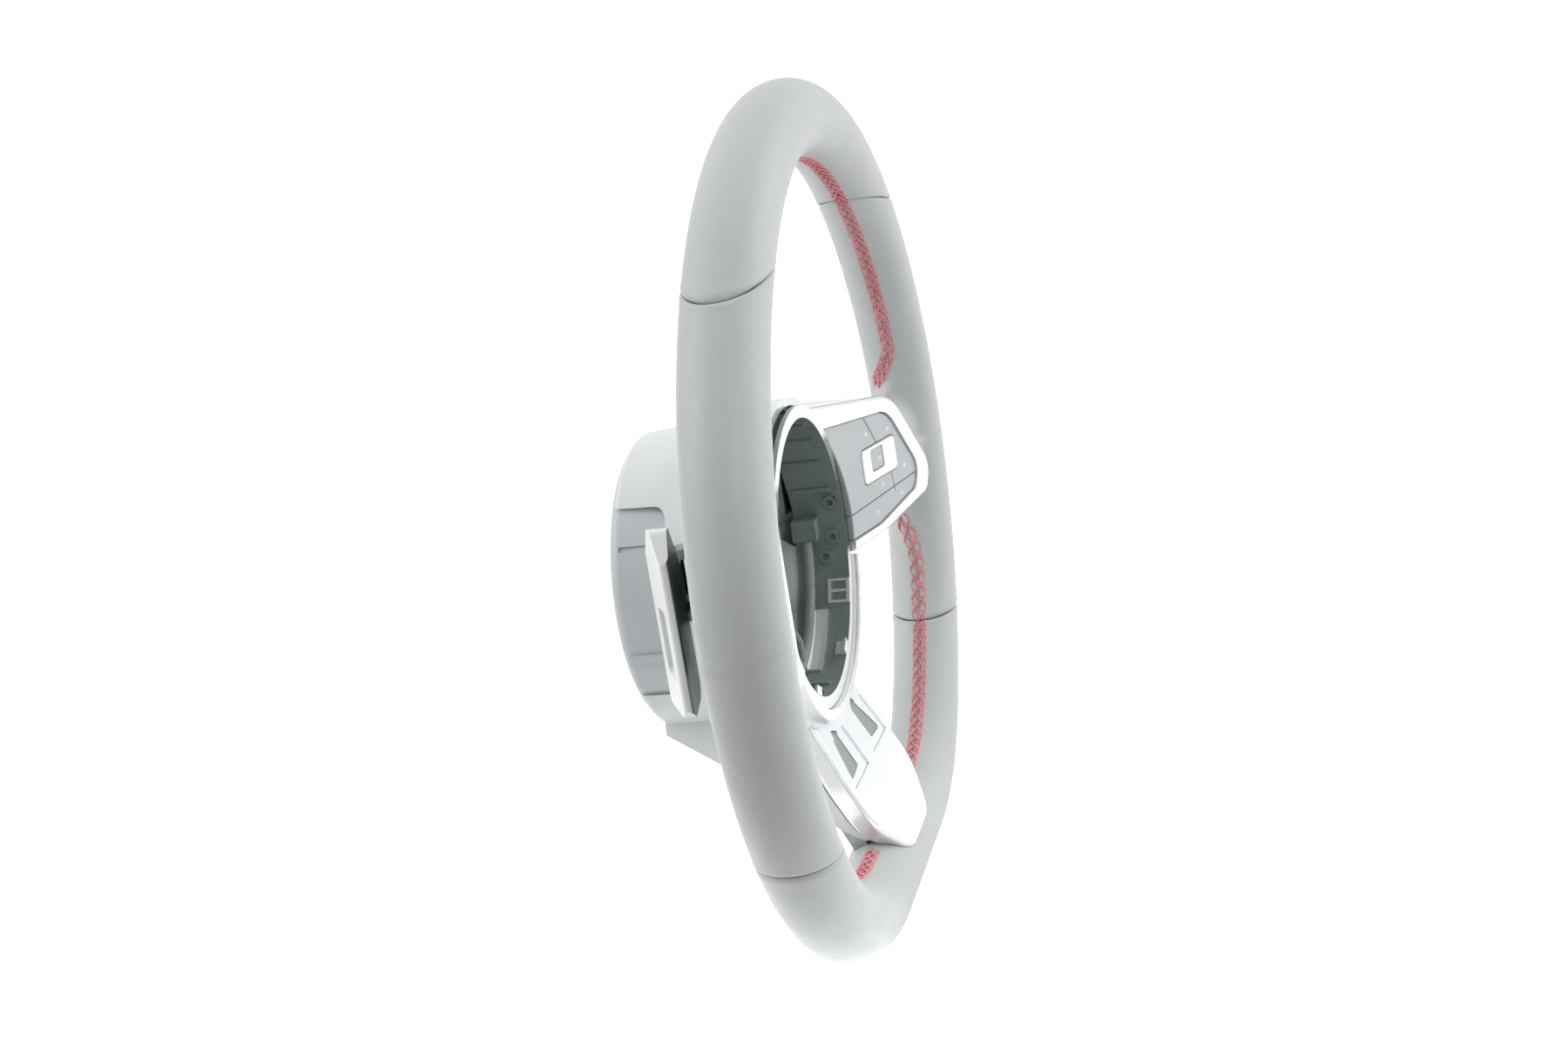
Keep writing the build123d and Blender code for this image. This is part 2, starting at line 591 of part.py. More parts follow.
seat = [(hinge_x + x, level(rear_line, hinge_x + x) + slip) for x in (15, 17, 25)]
switch = top_prism(outline(seat + [(x, y + 2.4) for x, y in reversed(seat)]), -6, 6)
switch += Pos(hinge_x + 20, level(rear_line, hinge_x + 20) + 2.4, 0) * Rot(90, 0, 0) * Cylinder(1.5, 2.6)
pair("paddle_switch", switch)
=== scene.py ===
import json
import math
import bmesh
import bpy
import numpy as np
from mathutils import Matrix, Vector
from mathutils.bvhtree import BVHTree


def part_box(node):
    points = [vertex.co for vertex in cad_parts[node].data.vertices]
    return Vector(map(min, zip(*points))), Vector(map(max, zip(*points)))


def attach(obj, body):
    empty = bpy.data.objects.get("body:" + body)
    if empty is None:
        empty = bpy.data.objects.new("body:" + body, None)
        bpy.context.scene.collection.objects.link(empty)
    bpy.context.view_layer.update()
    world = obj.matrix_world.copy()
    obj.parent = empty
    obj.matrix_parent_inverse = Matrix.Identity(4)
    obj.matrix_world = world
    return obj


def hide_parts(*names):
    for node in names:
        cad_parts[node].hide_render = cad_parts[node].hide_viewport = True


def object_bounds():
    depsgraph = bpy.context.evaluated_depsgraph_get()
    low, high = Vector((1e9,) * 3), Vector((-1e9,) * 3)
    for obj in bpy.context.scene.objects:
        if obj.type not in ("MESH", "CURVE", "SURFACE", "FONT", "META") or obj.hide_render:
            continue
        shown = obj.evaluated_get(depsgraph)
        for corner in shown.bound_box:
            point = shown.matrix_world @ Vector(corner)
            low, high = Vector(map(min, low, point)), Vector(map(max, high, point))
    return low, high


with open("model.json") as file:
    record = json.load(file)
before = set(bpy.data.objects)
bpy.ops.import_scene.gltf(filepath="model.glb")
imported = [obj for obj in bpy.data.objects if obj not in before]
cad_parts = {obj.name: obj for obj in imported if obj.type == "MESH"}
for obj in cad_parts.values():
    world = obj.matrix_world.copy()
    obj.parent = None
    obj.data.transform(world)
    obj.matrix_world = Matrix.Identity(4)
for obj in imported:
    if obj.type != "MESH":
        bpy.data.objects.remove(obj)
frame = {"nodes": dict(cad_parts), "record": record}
cad_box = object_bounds()
nodes = frame["nodes"]
scene = bpy.context.scene
MM = 0.001

# Sizes shared with the CAD model, in mm, before the shift of the column seat to the origin
SEAT = 60.0
RIM, DROP, HALF = 168.0, 150.0, 16.2
BLEND = math.radians(45)
CORNER = (DROP - RIM * math.sin(BLEND)) / (1 - math.sin(BLEND))
CORNER_X = (RIM - CORNER) * math.cos(BLEND)
UPPER_SEAM, LOWER_SEAM = 121.5, -85.5
LEATHERS = ("right_leather", "leather_top", "left_leather", "leather_bottom")
# Open end of a side leather at its spoke: the plane, and the middle and half sizes of its oval
ROOT_END = 138.0
ROOT_Y, ROOT_Z, ROOT_HALF_Y, ROOT_HALF_Z = 7.1, -3.5, 10.4, 22.7
# Where the sloping plane of a switch pod starts, and its slope
POD_X, POD_Y, POD_SLOPE = 60.0, 13.0, 0.28
# Ring of the loom in the bay, from angle to angle in degrees, and its branch to the rear
HUB_Z, LOOM_R, LOOM_Y, LOOM_FROM, LOOM_TO = -14.0, 52.74, 31.0, -172, -8
BRANCH_X, BRANCH_Z, BRANCH_RISE, BRANCH_BEND, BRANCH_RUN = 12.0, -64.0, 7.0, 8.0, 23.0


def linked(name, data):
    obj = bpy.data.objects.new(name, data)
    scene.collection.objects.link(obj)
    return obj


# Helpers for node trees
def add(tree, kind, links=(), **settings):
    node = tree.nodes.new(kind)
    for key, value in settings.items():
        setattr(node, key, value)
    for socket, source in links:
        if hasattr(source, "is_output"):
            tree.links.new(source, node.inputs[socket])
        else:
            node.inputs[socket].default_value = source
    return node


def math_node(tree, operation, a, b=0.0):
    return add(tree, "ShaderNodeMath", ((0, a), (1, b)), operation=operation).outputs[0]


def vector_node(tree, operation, a, b):
    return add(tree, "ShaderNodeVectorMath", ((0, a), (3 if operation == "SCALE" else 1, b)),
               operation=operation).outputs[0]


def mix_value(tree, factor, a, b):
    return add(tree, "ShaderNodeMix", ((0, factor), (2, a), (3, b)), data_type="FLOAT").outputs[0]


def mix_colour(tree, factor, a, b):
    return add(tree, "ShaderNodeMix", ((0, factor), (6, a), (7, b)), data_type="RGBA").outputs[2]


def ramp(tree, value, start, stop, low=0.0, high=1.0, kind="LINEAR"):
    """A value taken from one range to another and held at both ends."""
    return add(tree, "ShaderNodeMapRange", (("Value", value), ("From Min", start), ("From Max", stop),
                                            ("To Min", low), ("To Max", high)), interpolation_type=kind).outputs[0]


def coords(tree, kind):
    return add(tree, "ShaderNodeTexCoord").outputs[kind]


def axis(tree, vector, index):
    return add(tree, "ShaderNodeSeparateXYZ", ((0, vector),)).outputs[index]


# Shader groups
FLOAT, VECTOR = "NodeSocketFloat", "NodeSocketVector"


def shader_group(name, inputs, outputs):
    tree = bpy.data.node_groups.new(name, "ShaderNodeTree")
    for label, kind, value in inputs:
        socket = tree.interface.new_socket(label, in_out="INPUT", socket_type=kind)
        if value is not None:
            socket.default_value = value
    for label, kind in outputs:
        tree.interface.new_socket(label, in_out="OUTPUT", socket_type=kind)
    return tree, tree.nodes.new("NodeGroupInput").outputs, tree.nodes.new("NodeGroupOutput").inputs


def grain_group():
    """Fine noise or creased cells, as a height and a bumped normal."""
    tree, gin, gout = shader_group("surface_grain", [
        ("Vector", VECTOR, None), ("Scale", FLOAT, 1000.0), ("Cells", FLOAT, 0.5), ("Depth", FLOAT, 0.3),
        ("Reach", FLOAT, 0.0001)], [("Height", FLOAT), ("Normal", VECTOR)])
    place = (("Vector", gin["Vector"]), ("Scale", gin["Scale"]))
    cells = add(tree, "ShaderNodeTexVoronoi", (*place, ("Randomness", 1.0)), feature="DISTANCE_TO_EDGE")
    crease = ramp(tree, cells.outputs["Distance"], 0.0, 0.22)
    fine = add(tree, "ShaderNodeTexNoise", (*place, ("Detail", 4.0), ("Roughness", 0.55)))
    height = mix_value(tree, gin["Cells"], fine.outputs["Fac"], crease)
    bump = add(tree, "ShaderNodeBump", (("Strength", gin["Depth"]), ("Distance", gin["Reach"]),
                                        ("Height", height)))
    tree.links.new(height, gout["Height"])
    tree.links.new(bump.outputs["Normal"], gout["Normal"])
    return tree


def mottle_group():
    """Wide spots for the colour and finer smudges for the roughness."""
    tree, gin, gout = shader_group("handling_mottle", [
        ("Vector", VECTOR, None), ("Scale", FLOAT, 30.0), ("Contrast", FLOAT, 0.5), ("Seed", FLOAT, 0.0)],
        [("Mask", FLOAT), ("Smudge", FLOAT)])
    place = (("Vector", gin["Vector"]), ("W", gin["Seed"]))
    closer = math_node(tree, "MULTIPLY", gin["Scale"], 9.0)
    wide = add(tree, "ShaderNodeTexNoise", (*place, ("Scale", gin["Scale"]), ("Detail", 3.0)),
               noise_dimensions="4D")
    fine = add(tree, "ShaderNodeTexNoise", (*place, ("Scale", closer), ("Detail", 5.0)), noise_dimensions="4D")
    spread = math_node(tree, "MULTIPLY", gin["Contrast"], 0.3)
    low, high = math_node(tree, "SUBTRACT", 0.5, spread), math_node(tree, "ADD", 0.5, spread)
    tree.links.new(ramp(tree, wide.outputs["Fac"], low, high), gout["Mask"])
    tree.links.new(ramp(tree, fine.outputs["Fac"], 0.35, 0.7), gout["Smudge"])
    return tree


GRAIN, MOTTLE = grain_group(), mottle_group()
GRAIN_SHARE = 0.35


# Materials
def linear(*rgb):
    return tuple(((c / 255 + 0.055) / 1.055) ** 2.4 if c > 10 else c / 255 / 12.92 for c in rgb) + (1.0,)


def material(name, light, dark, rough, metallic=0.0, scale=1500.0, cells=0.0, depth=0.15, reach=0.0001,
             mottle=30.0, stretch=(1, 1, 1), coat=0.0, specular=0.5, sheen=0.0):
    """A finish between two colours and two roughnesses, with its grain."""
    mat = bpy.data.materials.new(name)
    mat.use_nodes = True
    tree = mat.node_tree
    shader = tree.nodes["Principled BSDF"]
    where = coords(tree, "Object")
    drawn = add(tree, "ShaderNodeMapping", (("Vector", where), ("Scale", stretch))).outputs[0]
    grain = add(tree, "ShaderNodeGroup", node_tree=GRAIN)
    spots = add(tree, "ShaderNodeGroup", node_tree=MOTTLE)
    tree.links.new(drawn, grain.inputs["Vector"])
    tree.links.new(where, spots.inputs["Vector"])
    for label, value in (("Scale", scale), ("Cells", cells), ("Depth", depth), ("Reach", reach)):
        grain.inputs[label].default_value = value
    spots.inputs["Scale"].default_value = mottle
    tint = mix_value(tree, GRAIN_SHARE, spots.outputs["Mask"], grain.outputs["Height"])
    colour = mix_colour(tree, tint, linear(*dark), linear(*light))
    rub = mix_value(tree, spots.outputs["Smudge"], rough[0], rough[1])
    tree.links.new(colour, shader.inputs["Base Color"])
    tree.links.new(rub, shader.inputs["Roughness"])
    tree.links.new(grain.outputs["Normal"], shader.inputs["Normal"])
    for label, value in (("Metallic", metallic), ("Coat Weight", coat), ("Specular IOR Level", specular),
                         ("Sheen Weight", sheen)):
        shader.inputs[label].default_value = value
    return mat


# Light colour, dark colour, range of roughness, and what differs from the usual grain
FINISHES = {
    "leather": ((204, 208, 207), (194, 199, 197), (0.42, 0.56),
                dict(scale=900, cells=0.75, depth=0.22, reach=0.00012, mottle=14, specular=0.4, sheen=0.05)),
    "foam": ((70, 70, 70), (50, 50, 50), (0.8, 0.9), dict(scale=700, cells=0.6, depth=0.4)),
    "casting": ((150, 155, 154), (120, 126, 125), (0.34, 0.52),
                dict(metallic=0.85, scale=900, depth=0.3, mottle=45)),
    "steel": ((190, 193, 195), (160, 164, 166), (0.22, 0.36),
              dict(metallic=1.0, scale=700, depth=0.1, stretch=(1, 12, 1))),
    "insert_plastic": ((205, 206, 202), (188, 190, 186), (0.4, 0.5), {}),
    "cover_plastic": ((234, 238, 238), (227, 232, 232), (0.38, 0.5), dict(scale=1700, depth=0.16, mottle=16)),
    "collar_plastic": ((213, 219, 222), (203, 209, 212), (0.36, 0.48), dict(scale=1700, depth=0.16, mottle=16)),
    "liner_plastic": ((134, 146, 142), (120, 132, 128), (0.22, 0.32),
                      dict(scale=1600, depth=0.05, mottle=25, coat=0.15)),
    "loom_sleeve": ((150, 156, 156), (120, 126, 126), (0.5, 0.65),
                    dict(scale=420, cells=0.8, depth=0.5, reach=0.0003)),
    "bright_trim": ((236, 239, 241), (229, 232, 234), (0.16, 0.26),
                    dict(metallic=0.4, scale=900, depth=0.04, mottle=22)),
    "clip_metal": ((250, 250, 250), (238, 239, 240), (0.15, 0.25), dict(metallic=0.5, depth=0.06)),
    "key_plastic": ((194, 200, 202), (187, 193, 195), (0.36, 0.46), dict(scale=2200, depth=0.1, mottle=40)),
    "key_chrome": ((244, 246, 247), (237, 239, 241), (0.12, 0.2), dict(metallic=0.35, depth=0.03)),
    "rubber": ((110, 112, 112), (90, 92, 92), (0.6, 0.7), {}),
    "board": ((40, 92, 60), (28, 74, 46), (0.35, 0.5), dict(scale=600, cells=0.9, depth=0.2)),
    "paddle_plastic": ((240, 243, 241), (235, 239, 237), (0.34, 0.4), dict(scale=2600, depth=0.02, mottle=16)),
    "slot_plastic": ((158, 165, 162), (140, 147, 144), (0.4, 0.5), dict(scale=1700, depth=0.12, mottle=30)),
    "print": ((252, 252, 252), (240, 242, 243), (0.3, 0.4), dict(scale=2400, depth=0.05)),
    "floor": ((255, 255, 255), (253, 253, 253), (0.8, 0.9), dict(depth=0.0)),
}
mats = {name: material(name, light, dark, rough, **more) for name, (light, dark, rough, more) in FINISHES.items()}


# Lean of a face towards the driver, from where its finish starts to change to where it has changed; on a paddle the
# change is to painted shade
PADDLE_SHADE_LEAN, LINER_FRONT = (-0.6, -0.9), (-0.3, -0.6)
# Bay liner, in metres: depth over which its front edge fades, height of the pods beside it, where the edge takes
# painted shade, and blend at their ends
LINER_EDGE, LINER_PODS, LINER_BLEND = (0.004, 0.003), (-0.0286, 0.0278), 0.002


def facing_driver(tree, low, high):
    """Mask of the faces that point towards the driver."""
    return ramp(tree, axis(tree, coords(tree, "Normal"), 1), low, high, kind="SMOOTHSTEP")


def repaint(mat, mask, colour):
    base = mat.node_tree.nodes["Principled BSDF"].inputs["Base Color"]
    mat.node_tree.links.new(mix_colour(mat.node_tree, mask, base.links[0].from_socket, colour), base)


def painted_shade_front(mat, colour):
    """The side of a paddle that faces the driver takes the dark colour, which is painted shade."""
    repaint(mat, facing_driver(mat.node_tree, *PADDLE_SHADE_LEAN), colour)


def bay_edge_with_shade(mat, front, bright, dark):
    """The front edge of the bay's liner is bright, and dark where it runs along the switch pods: painted shade
    between the liner and the pods.
    """
    tree = mat.node_tree
    where = coords(tree, "Object")
    edge = ramp(tree, axis(tree, where, 1), front + LINER_EDGE[0], front + LINER_EDGE[1])
    mask = math_node(tree, "MULTIPLY", edge, facing_driver(tree, *LINER_FRONT))
    middle, half = sum(LINER_PODS) / 2, (LINER_PODS[1] - LINER_PODS[0]) / 2
    off = math_node(tree, "ABSOLUTE", math_node(tree, "SUBTRACT", axis(tree, where, 2), middle))
    # Painted shade on the edge where it runs along the pods
    beside = ramp(tree, off, half + LINER_BLEND, half - LINER_BLEND)
    repaint(mat, mask, mix_colour(tree, beside, bright, dark))


# Painted shade on the face of each paddle that points towards the driver
painted_shade_front(mats["paddle_plastic"], linear(54, 61, 62))
# Bright front edge of the liner, with painted shade beside the pods
bay_edge_with_shade(mats["liner_plastic"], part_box("bay_liner")[0][1], linear(245, 247, 247), linear(52, 58, 57))
# Each CAD node takes the finish of its slot in the record; the sewn thread is made further down
for part in frame["record"]["subparts"]:
    node = nodes[part["node"]]
    node.data.materials.clear()
    node.data.materials.append(mats.get(part["material_slot"], mats["rubber"]))
# The inserts in the lower spoke are darker than the collar, whose slot they share
nodes["spoke_inserts"].data.materials[0] = mats["slot_plastic"]


# Camera from the photograph's own perspective
cam = linked("camera", bpy.data.cameras.new("camera"))
right = Vector((0.22569, -0.96223, -0.15225))
up = Vector((0.26988, -0.08841, 0.95883))
ahead = Vector((0.93607, 0.25749, -0.23973))
cam.matrix_world = Matrix((right, up, -ahead)).transposed().to_4x4()
cam.matrix_world.translation = Vector((-0.765543, -0.244862, 0.198241))
cam.data.lens = 44.278
cam.data.sensor_width = 36.0
cam.data.sensor_fit = "HORIZONTAL"
cam.data.clip_start = 0.01
scene.camera = cam


# Rim path: one closed line over the top, round the corners and along the flat bottom
SEAMS = [math.asin(UPPER_SEAM / RIM), math.asin(LOWER_SEAM / RIM)]
SEAM_ANGLES = [SEAMS[1], SEAMS[0], math.pi - SEAMS[0], math.pi - SEAMS[1]]
SEAM_GAP = 0.2
# Length of rim over which the rings turn into a seam, and the tilt of the upper seams
SEAM_REACH, SEAM_TILT = math.radians(13), 0.25
# Sewn line beside a side spoke, above and below it: most turn to the rear, where it ends, over how much; in degrees
TURN_ABOVE, TURN_BELOW, TURN_CURVE = (47, 19, 9.0), (32, 23, 10.0), 1.6
# Where the rim is not laced: this far along the flat, and between these angles at a side spoke
BARE_FLAT, BARE_LOW, BARE_HIGH = 34, math.radians(-13.5), math.radians(9.5)
# A ray for the skin starts this far out; the spokes lie within this height; least lean of a ray that can meet an open
# end, and slack there; the leather lies no deeper than this
FAR, SPOKE_REACH, END_LEAN, END_SLACK, DEEPEST = 60.0, 60.0, 0.2, 0.5, HALF - 0.7


def rim_at(s):
    """Point of the rim's middle line and its outward direction, in X and Z, at path angle or flat place s."""
    kind, t = s
    if kind == "flat":
        return np.array((t, -DROP)), np.array((0.0, -1.0))
    out = np.array((math.cos(t), math.sin(t)))
    if kind == "round":
        return RIM * out, out
    side = 1.0 if kind == "right" else -1.0
    return np.array((side * CORNER_X, -(RIM - CORNER) * math.sin(BLEND))) + CORNER * out, out


def folded(theta):
    """The angle on the right half that mirrors this one."""
    return theta if theta < math.pi / 2 else math.pi - theta


def shear(theta, phi):
    """How far a ring near a seam leans so that it lies along the seam's level cut."""
    for seam in SEAM_ANGLES:
        off = abs(theta - seam)
        if off < SEAM_REACH:
            tilt = SEAM_TILT if math.sin(seam) > 0 else 0.0
            level = RIM * math.sin(seam) - tilt * HALF * math.cos(phi)
            there = math.asin(max(-1, min(1, level / (RIM + HALF * math.cos(phi)))))
            if seam > math.pi / 2:
                there = math.pi - there
            return (there - seam) * (0.5 + 0.5 * math.cos(math.pi * off / SEAM_REACH))
    return 0.0


def stitch_turn(theta):
    """Section angle of the sewn line: the inside of the rim, turning to the rear beside the side spokes."""
    fold = math.degrees(folded(theta))
    most, end, over = TURN_ABOVE if fold >= 0 else TURN_BELOW
    share = max(0.0, min(1.0, (end - abs(fold)) / over))
    return math.pi - math.radians(most * share ** TURN_CURVE)


def sewn(s):
    """How the rim is laced here: close, open under the side spokes, or not at all."""
    if s[0] == "flat":
        return "close" if abs(s[1]) > BARE_FLAT else ""
    if s[0] != "round":
        return "close"
    fold = folded(s[1])
    if BARE_LOW < fold < BARE_HIGH:
        return ""
    return "open" if SEAMS[1] < fold < 0 else "close"


# The CAD leather as one skin that rays can be cast at
verts, tris = [], []
for name in LEATHERS:
    mesh = nodes[name].data
    first = len(verts)
    verts += [v.co.copy() for v in mesh.vertices]
    mesh.calc_loop_triangles()
    tris += [tuple(first + i for i in t.vertices) for t in mesh.loop_triangles]
skin_tree = BVHTree.FromPolygons(verts, tris)


def outward(out, phi):
    """Direction away from the rim's middle line at section angle phi."""
    return Vector((math.cos(phi) * out[0], math.sin(phi), math.cos(phi) * out[1]))


def surface(point, out, phi):
    """Distance from the middle line to the outside of the CAD leather, and whether it is the open end there."""
    d = outward(out, phi)
    p = Vector((point[0], -SEAT, point[1]))
    hit = skin_tree.ray_cast((p + d * FAR) * MM, -d, FAR * MM)
    r = FAR - hit[3] / MM if hit[0] is not None else HALF
    inward = -d.x * math.copysign(1, p.x)
    if inward > END_LEAN and abs(p.z) < SPOKE_REACH:
        r_end = (abs(p.x) - ROOT_END) / inward
        q = p + d * r_end
        oval = ((q.y + SEAT - ROOT_Y) / ROOT_HALF_Y) ** 2 + ((q.z - ROOT_Z) / ROOT_HALF_Z) ** 2
        if oval < 1 and r < r_end + END_SLACK:
            return r_end, True
    return max(r, DEEPEST), False


# Angles round the section, close together near the sewn line
FINE, COARSE_STEPS = 12, 62
ROUND = np.concatenate([np.linspace(-math.pi, -math.radians(FINE), COARSE_STEPS, endpoint=False),
                        np.radians(np.arange(-FINE, FINE + 0.01, 1.0)),
                        np.linspace(math.radians(FINE), math.pi, COARSE_STEPS)[1:-1]])
# Rings along the rim: distances from a seam, then even steps; a ring that is far from any seam counts as AWAY
EDGE = np.array((0.0, 0.12, 0.35, 0.7, 1.1, 1.6, 2.3, 3.2))
STEP, CORNER_STEPS, FLAT_STEPS, AWAY = 2.4, 36, 37, 9.0


def rings(start, stop):
    """Places along the rim between two seams, close together at both ends, with the distance to the seam."""
    if start < stop:
        total = (stop - start) * RIM
        inner = np.linspace(EDGE[-1], total - EDGE[-1], int(total / STEP))[1:-1]
        return [(("round", start + x / RIM), min(x, total - x)) for x in [*EDGE, *inner, *(total - EDGE[::-1])]]
    left_end, right_start = math.pi + BLEND, -BLEND
    span = (left_end - start) * RIM
    line = [("round", start + x / RIM) for x in [*EDGE, *np.linspace(EDGE[-1], span, int(span / STEP))[1:-1]]]
    line += [("left", t) for t in np.linspace(left_end, 1.5 * math.pi, CORNER_STEPS, endpoint=False)]
    line += [("flat", x) for x in np.linspace(-CORNER_X, CORNER_X, FLAT_STEPS, endpoint=False)]
    line += [("right", t) for t in np.linspace(-0.5 * math.pi, right_start, CORNER_STEPS, endpoint=False)]
    span = (stop - right_start) * RIM
    last = [*np.linspace(0, span - EDGE[-1], int(span / STEP))[:-1], *(span - EDGE[::-1])]
    line += [("round", stop - (span - x) / RIM) for x in last]
    from_end = [min(i, len(line) - 1 - i) for i in range(len(line))]
    return [(s, EDGE[k] if k < len(EDGE) else AWAY) for s, k in zip(line, from_end)]


# Form of the leather, in mm: lip and swelling at a seam, groove and ridges at the sewn line, depth of its turned edge
SMOOTHING = 6
LIP_DEEP, LIP_RUN = 1.5, 1.6
SWELL_HIGH, SWELL_AT, SWELL_RUN = 0.22, 2.4, 1.2
GROOVE_DEEP, GROOVE_WIDE = 0.85, 0.7
RIDGE_HIGH, RIDGE_AT, RIDGE_WIDE = 0.12, 2.6, 1.2
HEM = 2.2


def skin_grid(line):
    """Each ring's spots on the middle line with their section angles, how far the CAD skin is, and its open ends."""
    radius = np.zeros((len(line), len(ROUND)))
    ends = np.zeros(radius.shape, bool)
    spots = []
    for i, (s, _) in enumerate(line):
        turn = stitch_turn(s[1]) if s[0] == "round" else math.pi
        row = []
        for j, a in enumerate(ROUND):
            phi = turn + a
            p, out = rim_at(("round", s[1] + shear(s[1], phi)) if s[0] == "round" else s)
            radius[i, j], ends[i, j] = surface(p, out, phi)
            row.append((p, out, phi))
        spots.append(row)
    return spots, radius, ends


def skin_point(spot, r):
    p, out, phi = spot
    return ((p[0] + r * math.cos(phi) * out[0]) * MM, (r * math.sin(phi) - SEAT) * MM,
            (p[1] + r * math.cos(phi) * out[1]) * MM)


def leather_piece(name, start, stop):
    """One panel of leather drawn over the skin, and the track of its sewn line."""
    line = rings(start, stop)
    spots, soft, ends = skin_grid(line)
    for _ in range(SMOOTHING):
        blur = (np.roll(soft, 1, 1) + np.roll(soft, -1, 1) + 2 * soft) / 4
        blur[1:-1] = (blur[:-2] + 2 * blur[1:-1] + blur[2:]) / 4
        soft = np.where(ends, soft, blur)
    arc = ROUND * HALF
    groove = GROOVE_DEEP * np.exp(-(arc / GROOVE_WIDE) ** 2)
    ridges = RIDGE_HIGH * np.exp(-((np.abs(arc) - RIDGE_AT) / RIDGE_WIDE) ** 2)
    for i, (s, edge) in enumerate(line):
        lip = LIP_DEEP * (1 - math.sqrt(max(0.0, 1 - (1 - min(edge, LIP_RUN) / LIP_RUN) ** 2)))
        soft[i] += SWELL_HIGH * math.exp(-((edge - SWELL_AT) / SWELL_RUN) ** 2) - lip
        if sewn(s):
            soft[i] -= groove - ridges
    n, m = soft.shape
    points = [skin_point(spots[i][j], soft[i, j]) for i in range(n) for j in range(m)]
    faces = []
    for i in range(n - 1):
        for j in range(m):
            k = (j + 1) % m
            if not (ends[i, j] and ends[i + 1, j] and ends[i, k] and ends[i + 1, k]):
                faces.append((i * m + j, i * m + k, (i + 1) * m + k, (i + 1) * m + j))
    for i in (0, n - 1):
        base = len(points)
        points += [skin_point(spots[i][j], soft[i, j] - HEM) for j in range(m)]
        for j in range(m):
            k = (j + 1) % m
            quad = (base + j, base + k, i * m + k, i * m + j)
            faces.append(quad if i == 0 else quad[::-1])
    mesh = bpy.data.meshes.new(name)
    mesh.from_pydata(points, [], faces)
    bm = bmesh.new()
    bm.from_mesh(mesh)
    bmesh.ops.delete(bm, geom=[v for v in bm.verts if not v.link_faces], context="VERTS")
    bmesh.ops.recalc_face_normals(bm, faces=bm.faces)
    bm.to_mesh(mesh)
    bm.free()
    mesh.shade_smooth()
    mesh.materials.append(mats["leather"])
    middle = int(np.argmin(np.abs(ROUND)))
    track = []
    for i, (s, _) in enumerate(line):
        p, out, phi = spots[i][middle]
        d = outward(out, phi)
        track.append((sewn(s), Vector((p[0], -SEAT, p[1])) + d * (soft[i, middle] + GROOVE_DEEP), d))
    return linked(name, mesh), track


sewn_line = []
for i, node in enumerate(LEATHERS):
    start, stop = SEAM_ANGLES[i], SEAM_ANGLES[(i + 1) % len(SEAM_ANGLES)]
    obj, track = leather_piece(f"{node}_cover", start + SEAM_GAP / RIM, stop - SEAM_GAP / RIM)
    sewn_line += track
    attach(obj, "wheel")
    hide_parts(node)


# Lacing: crossing threads set along the sewn line by a node tree
def thread_material():
    mat = bpy.data.materials.new("thread")
    mat.use_nodes = True
    tree = mat.node_tree
    shader = tree.nodes["Principled BSDF"]
    turns = add(tree, "ShaderNodeAttribute", attribute_name="twist").outputs["Fac"]
    wave = math_node(tree, "SINE", math_node(tree, "MULTIPLY", turns, 2 * math.pi))
    twist = math_node(tree, "ADD", math_node(tree, "MULTIPLY", wave, 0.5), 0.5)
    spots = add(tree, "ShaderNodeGroup", node_tree=MOTTLE)
    tree.links.new(coords(tree, "Object"), spots.inputs["Vector"])
    spots.inputs["Scale"].default_value = 160.0
    # Random tone, and a painted highlight on the crest of each twist of the yarn: the lighter colour stands for the
    # highlight
    shade = mix_value(tree, 0.5, spots.outputs["Mask"], twist)
    colour = mix_colour(tree, shade, linear(224, 106, 116), linear(250, 162, 168))
    bump = add(tree, "ShaderNodeBump", (("Strength", 0.5), ("Distance", 0.0002), ("Height", twist)))
    tree.links.new(colour, shader.inputs["Base Color"])
    tree.links.new(bump.outputs["Normal"], shader.inputs["Normal"])
    shader.inputs["Roughness"].default_value = 0.62
    shader.inputs["Sheen Weight"].default_value = 0.3
    return mat


mats["thread"] = thread_material()
# In metres: step along the path, dip where a thread goes into the leather, its tuck at a run's end, twist of the yarn
PATH_STEP, DIP, DIP_SHARP, TUCK_RUN, TUCK, TWIST = 0.0008, 0.0004, 10.0, 0.0025, 0.0014, 0.0018
# Two points of the sewn line further apart than this belong to different runs
RUN_BREAK = 0.012
LACINGS = {
    "close": {"Strands": 5, "Half Width": 2.95 * MM, "Period": 31.0 * MM, "Thread": 0.46 * MM, "Lift": 0.3 * MM},
    "open": {"Strands": 3, "Half Width": 3.2 * MM, "Period": 22.5 * MM, "Thread": 0.52 * MM, "Lift": 0.4 * MM},
}


